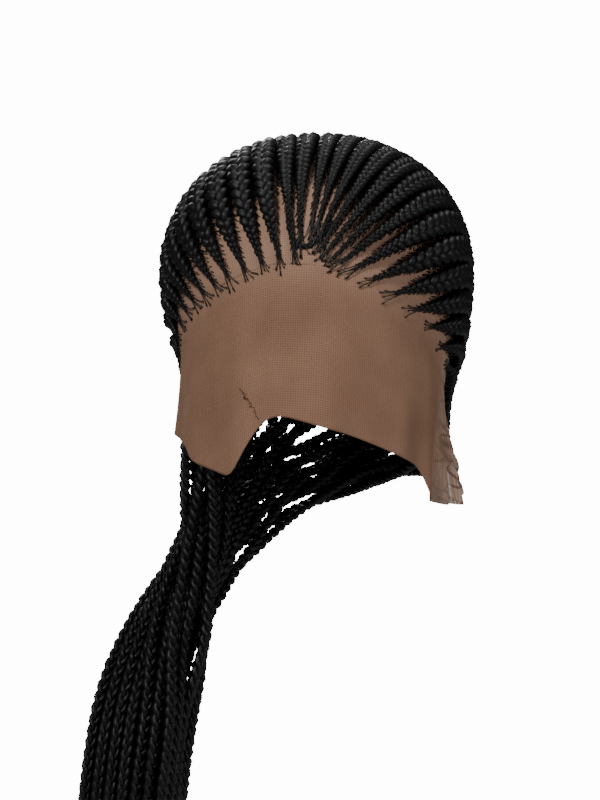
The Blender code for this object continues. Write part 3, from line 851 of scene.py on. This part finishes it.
def bumped(tree, shader, height, strength, distance, inverted=False):
    """Give a shader a fine relief from a height."""
    bump = tree.nodes.new("ShaderNodeBump")
    bump.inputs["Strength"].default_value = strength
    bump.inputs["Distance"].default_value = distance
    bump.invert = inverted
    tree.links.new(height, bump.inputs["Height"])
    tree.links.new(bump.outputs["Normal"], shader.inputs["Normal"])


def noise_over(tree, place, scale):
    """Cloudy patches over a piece."""
    node = tree.nodes.new("ShaderNodeTexNoise")
    node.inputs["Scale"].default_value = scale
    tree.links.new(place, node.inputs["Vector"])
    return node.outputs["Fac"]


def new_material(name):
    """A node material with its tree and its shader."""
    made = bpy.data.materials.new(name)
    made.use_nodes = True
    return made, made.node_tree, made.node_tree.nodes["Principled BSDF"]


def plain_material(name, colour, roughness):
    """An even, non-metallic finish."""
    made, _, shader = new_material(name)
    shader.inputs["Base Color"].default_value = (*colour, 1)
    shader.inputs["Roughness"].default_value = roughness
    return made


def uv_place(tree):
    """Place on a piece's own UV map, in metres."""
    place = tree.nodes.new("ShaderNodeUVMap")
    place.uv_map = "UVMap"
    return place.outputs["UV"]


def hair_material(name, fibres):
    """Near-black braiding hair with a satin sheen."""
    made, tree, shader = new_material(name)
    group = tree.nodes.new("ShaderNodeGroup")
    group.node_tree = fibres
    group.inputs["Fibre width"].default_value = FIBRE_WIDTH
    group.inputs["Fibre length"].default_value = FIBRE_LENGTH
    tree.links.new(uv_place(tree), group.inputs["Vector"])
    tree.links.new(ramp(tree, group.outputs["Locks"], *HAIR_COLOURS), shader.inputs["Base Color"])
    tree.links.new(spread_over(tree, group.outputs["Fibres"], *HAIR_ROUGHNESS), shader.inputs["Roughness"])
    bumped(tree, shader, group.outputs["Fibres"], FIBRE_BUMP, FIBRE_DEPTH)
    shader.inputs["Specular IOR Level"].default_value = HAIR_SPECULAR
    return made


def cap_material():
    """Tan stretch lace of the cap, seen in the partings, with painted shade in the sunken parts of its net.
    """
    made, tree, shader = new_material("tan_cap_lace")
    place = tree.nodes.new("ShaderNodeTexCoord").outputs["Object"]
    cells = tree.nodes.new("ShaderNodeTexVoronoi")
    cells.inputs["Scale"].default_value = 1 / CAP_MESH
    tree.links.new(place, cells.inputs["Vector"])
    cloudy = ramp(tree, noise_over(tree, place, CAP_PATCHES), *CAP_COLOURS)
    # Painted shade: the net turns darker where its bump sinks it
    meshes = spread_over(tree, cells.outputs["Distance"], 0.0, CAP_MESH_SHADE_SHARE)
    tree.links.new(mixed(tree, meshes, cloudy, CAP_MESH_SHADE_COLOUR), shader.inputs["Base Color"])
    shader.inputs["Roughness"].default_value = CAP_ROUGHNESS
    bumped(tree, shader, cells.outputs["Distance"], CAP_BUMP, NET_DEPTH, inverted=True)
    return made


def crease_shade_lines(tree, place, loose):
    """Thin crooked lines of painted shade on the loose corner, where the net is folded."""
    cells = tree.nodes.new("ShaderNodeTexVoronoi")
    cells.feature = "DISTANCE_TO_EDGE"
    cells.inputs["Scale"].default_value = 1 / CREASE_SHADE_CELL
    tree.links.new(place, cells.inputs["Vector"])
    line = math_node(tree, "SUBTRACT", 1.0, between(tree, cells.outputs["Distance"], *CREASE_LINE_SHADE_WIDTH))
    return math_node(tree, "MULTIPLY", math_node(tree, "MULTIPLY", line, loose), CREASE_LINE_SHADE_SHARE)


def lace_material(net):
    """Sheer tan net: paler in the partings, and paler on the loose corner as painted light from the backdrop
    behind it, with small open holes painted dark as shade and painted shade lines along the creases.
    """
    made, tree, shader = new_material("sheer_tan_net")
    place = uv_place(tree)
    group = tree.nodes.new("ShaderNodeGroup")
    group.node_tree = net
    group.inputs["Pitch"].default_value = LACE_PITCH
    group.inputs["Hole"].default_value = LACE_HOLE
    tree.links.new(place, group.inputs["Vector"])
    split = tree.nodes.new("ShaderNodeSeparateXYZ")
    tree.links.new(place, split.inputs[0])
    below = between(tree, split.outputs[1], *(LACE_BAND * share for share in PARTING_EDGE))
    loose = between(tree, split.outputs[0], *LACE_LOOSE)
    hole = math_node(tree, "SUBTRACT", 1.0, group.outputs["Thread"])
    colour = ramp(tree, noise_over(tree, place, LACE_PATCHES), *LACE_COLOURS)
    colour = mixed(tree, below, PARTING_COLOUR, colour)
    # Painted light: the loose corner is paler, as if the white backdrop shone through the net
    colour = mixed(tree, loose, colour, LOOSE_PAINTED_LIGHT_COLOUR)
    # Painted shade: dark lines along the creases of the loose corner
    colour = mixed(tree, crease_shade_lines(tree, place, loose), colour, CREASE_LINE_SHADE_COLOUR)
    # Painted shade: the net's holes are darkened, as if the shaded inside showed through them
    colour = mixed(tree, math_node(tree, "MULTIPLY", hole, HOLE_SHADE_SHARE), colour, HOLE_SHADE_COLOUR)
    tree.links.new(colour, shader.inputs["Base Color"])
    sheer = math_node(tree, "MULTIPLY", hole, spread_over(tree, loose, *OPENNESS))
    tree.links.new(math_node(tree, "SUBTRACT", 1.0, sheer), shader.inputs["Alpha"])
    shader.inputs["Roughness"].default_value = LACE_ROUGHNESS
    bumped(tree, shader, group.outputs["Thread"], LACE_BUMP, NET_DEPTH)
    return made


def add_camera():
    """The camera at the photograph's viewing angle."""
    azimuth = math.radians(CAMERA_AZIMUTH)
    elevation = math.radians(CAMERA_ELEVATION)
    back = Vector((math.sin(azimuth) * math.cos(elevation), -math.cos(azimuth) * math.cos(elevation),
                   math.sin(elevation)))
    right = Vector((math.cos(azimuth), math.sin(azimuth), 0))
    up = back.cross(right)
    roll = Matrix.Rotation(math.radians(CAMERA_ROLL), 4, "Z")
    turn = Matrix((right, up, back)).transposed().to_4x4() @ roll
    bpy.ops.object.camera_add()
    camera = bpy.context.object
    camera.name = "camera"
    camera.matrix_world = Matrix.Translation(Vector(CAMERA_TARGET) + back * CAMERA_DISTANCE) @ turn
    camera.data.sensor_width = SENSOR
    camera.data.lens = FOCAL_PIXELS / PHOTO_HEIGHT * SENSOR
    camera.data.clip_start = CAMERA_NEAREST
    bpy.context.scene.camera = camera


def add_light(name, place, size, power):
    """A soft square lamp that points at the wig."""
    bpy.ops.object.light_add(type="AREA", location=place)
    lamp = bpy.context.object
    lamp.name = name
    lamp.data.size = size
    lamp.data.energy = power
    aim = Vector(LAMP_AIM) - Vector(place)
    lamp.rotation_euler = aim.to_track_quat("-Z", "Y").to_euler()


def add_studio():
    """White world, pale floor and soft lamps."""
    bpy.ops.mesh.primitive_plane_add(size=FLOOR_SIZE, location=(0, 0, FLOOR_LEVEL))
    floor = bpy.context.object
    floor.name = "floor"
    made, tree, shader = new_material("pale_floor")
    shader.inputs["Base Color"].default_value = (*FLOOR_GREY, 1)
    shader.inputs["Roughness"].default_value = FLOOR_ROUGHNESS
    shader.inputs["Emission Color"].default_value = (*WHITE, 1)
    rays = tree.nodes.new("ShaderNodeLightPath")
    tree.links.new(math_node(tree, "MULTIPLY", rays.outputs["Is Camera Ray"], BACKDROP_SEEN),
                   shader.inputs["Emission Strength"])
    floor.data.materials.append(made)
    world = bpy.data.worlds.new("studio")
    bpy.context.scene.world = world
    world.use_nodes = True
    nodes = world.node_tree.nodes
    light = nodes["Background"]
    light.inputs["Color"].default_value = (*WORLD_COLOUR, 1)
    light.inputs["Strength"].default_value = WORLD_LIGHT
    seen = nodes.new("ShaderNodeBackground")
    seen.inputs["Color"].default_value = (*WHITE, 1)
    seen.inputs["Strength"].default_value = BACKDROP_SEEN
    rays = nodes.new("ShaderNodeLightPath")
    mix = nodes.new("ShaderNodeMixShader")
    links = world.node_tree.links
    links.new(rays.outputs["Is Camera Ray"], mix.inputs[0])
    links.new(light.outputs[0], mix.inputs[1])
    links.new(seen.outputs[0], mix.inputs[2])
    links.new(mix.outputs[0], nodes["World Output"].inputs["Surface"])
    for name, place, size, power in LAMPS:
        add_light(name, place, size, power)


bpy.ops.object.select_all(action="DESELECT")
fibres = fibre_group()
net = net_group()
row_hair = hair_material("black_row_hair", fibres)
braid_hair = hair_material("black_braid_hair", fibres)
short_hair = plain_material("short_black_hair", SHORT_HAIR_COLOUR, SHORT_HAIR_ROUGHNESS)
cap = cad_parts["lace_cap"]
cap.data.materials.clear()
cap.data.materials.append(cap_material())

lace = make_lace_front(lace_material(net))
make_arch(node_tree("lace_cap"), row_hair)
surface = lace_surface(lace)
roots = []
feeds = []
for side in SIDES:
    for number in range(1, ROWS + 1):
        course = row_course(f"cornrow_{side}_{number:02d}")
        make_row(side, number, course, row_hair)
        leaving = braid_course(f"braid_{side}_{number:02d}", course["upright"][-1])
        make_braid(side, number, leaving, braid_hair)
        roots += root_hairs(course, surface)
        feeds += feed_hairs(course, surface)

root_radii = ROOT_HAIR_RADIUS * np.linspace(*ROOT_TAPER, ROOT_STATIONS)
root_radii[-1] = ROOT_HAIR_KNOT
thin = thin_tubes(roots, root_radii)
stations = np.linspace(0, ROOT_HAIR_MAP, ROOT_STATIONS)
tube_object("root_hairs", thin, stations, SHORT_HAIR_GIRTH, short_hair)
thin = thin_tubes(feeds, FEED_RADIUS * np.linspace(*FEED_TAPER, FEED_STATIONS))
stations = np.linspace(0, FEED_MAP, FEED_STATIONS)
tube_object("fed_in_hairs", thin, stations, SHORT_HAIR_GIRTH, short_hair)
# The pinched fold's dark colour is painted shade
make_crease(surface, plain_material("pinched_net_shade", FOLD_SHADE_COLOUR, LACE_ROUGHNESS))

add_camera()
add_studio()
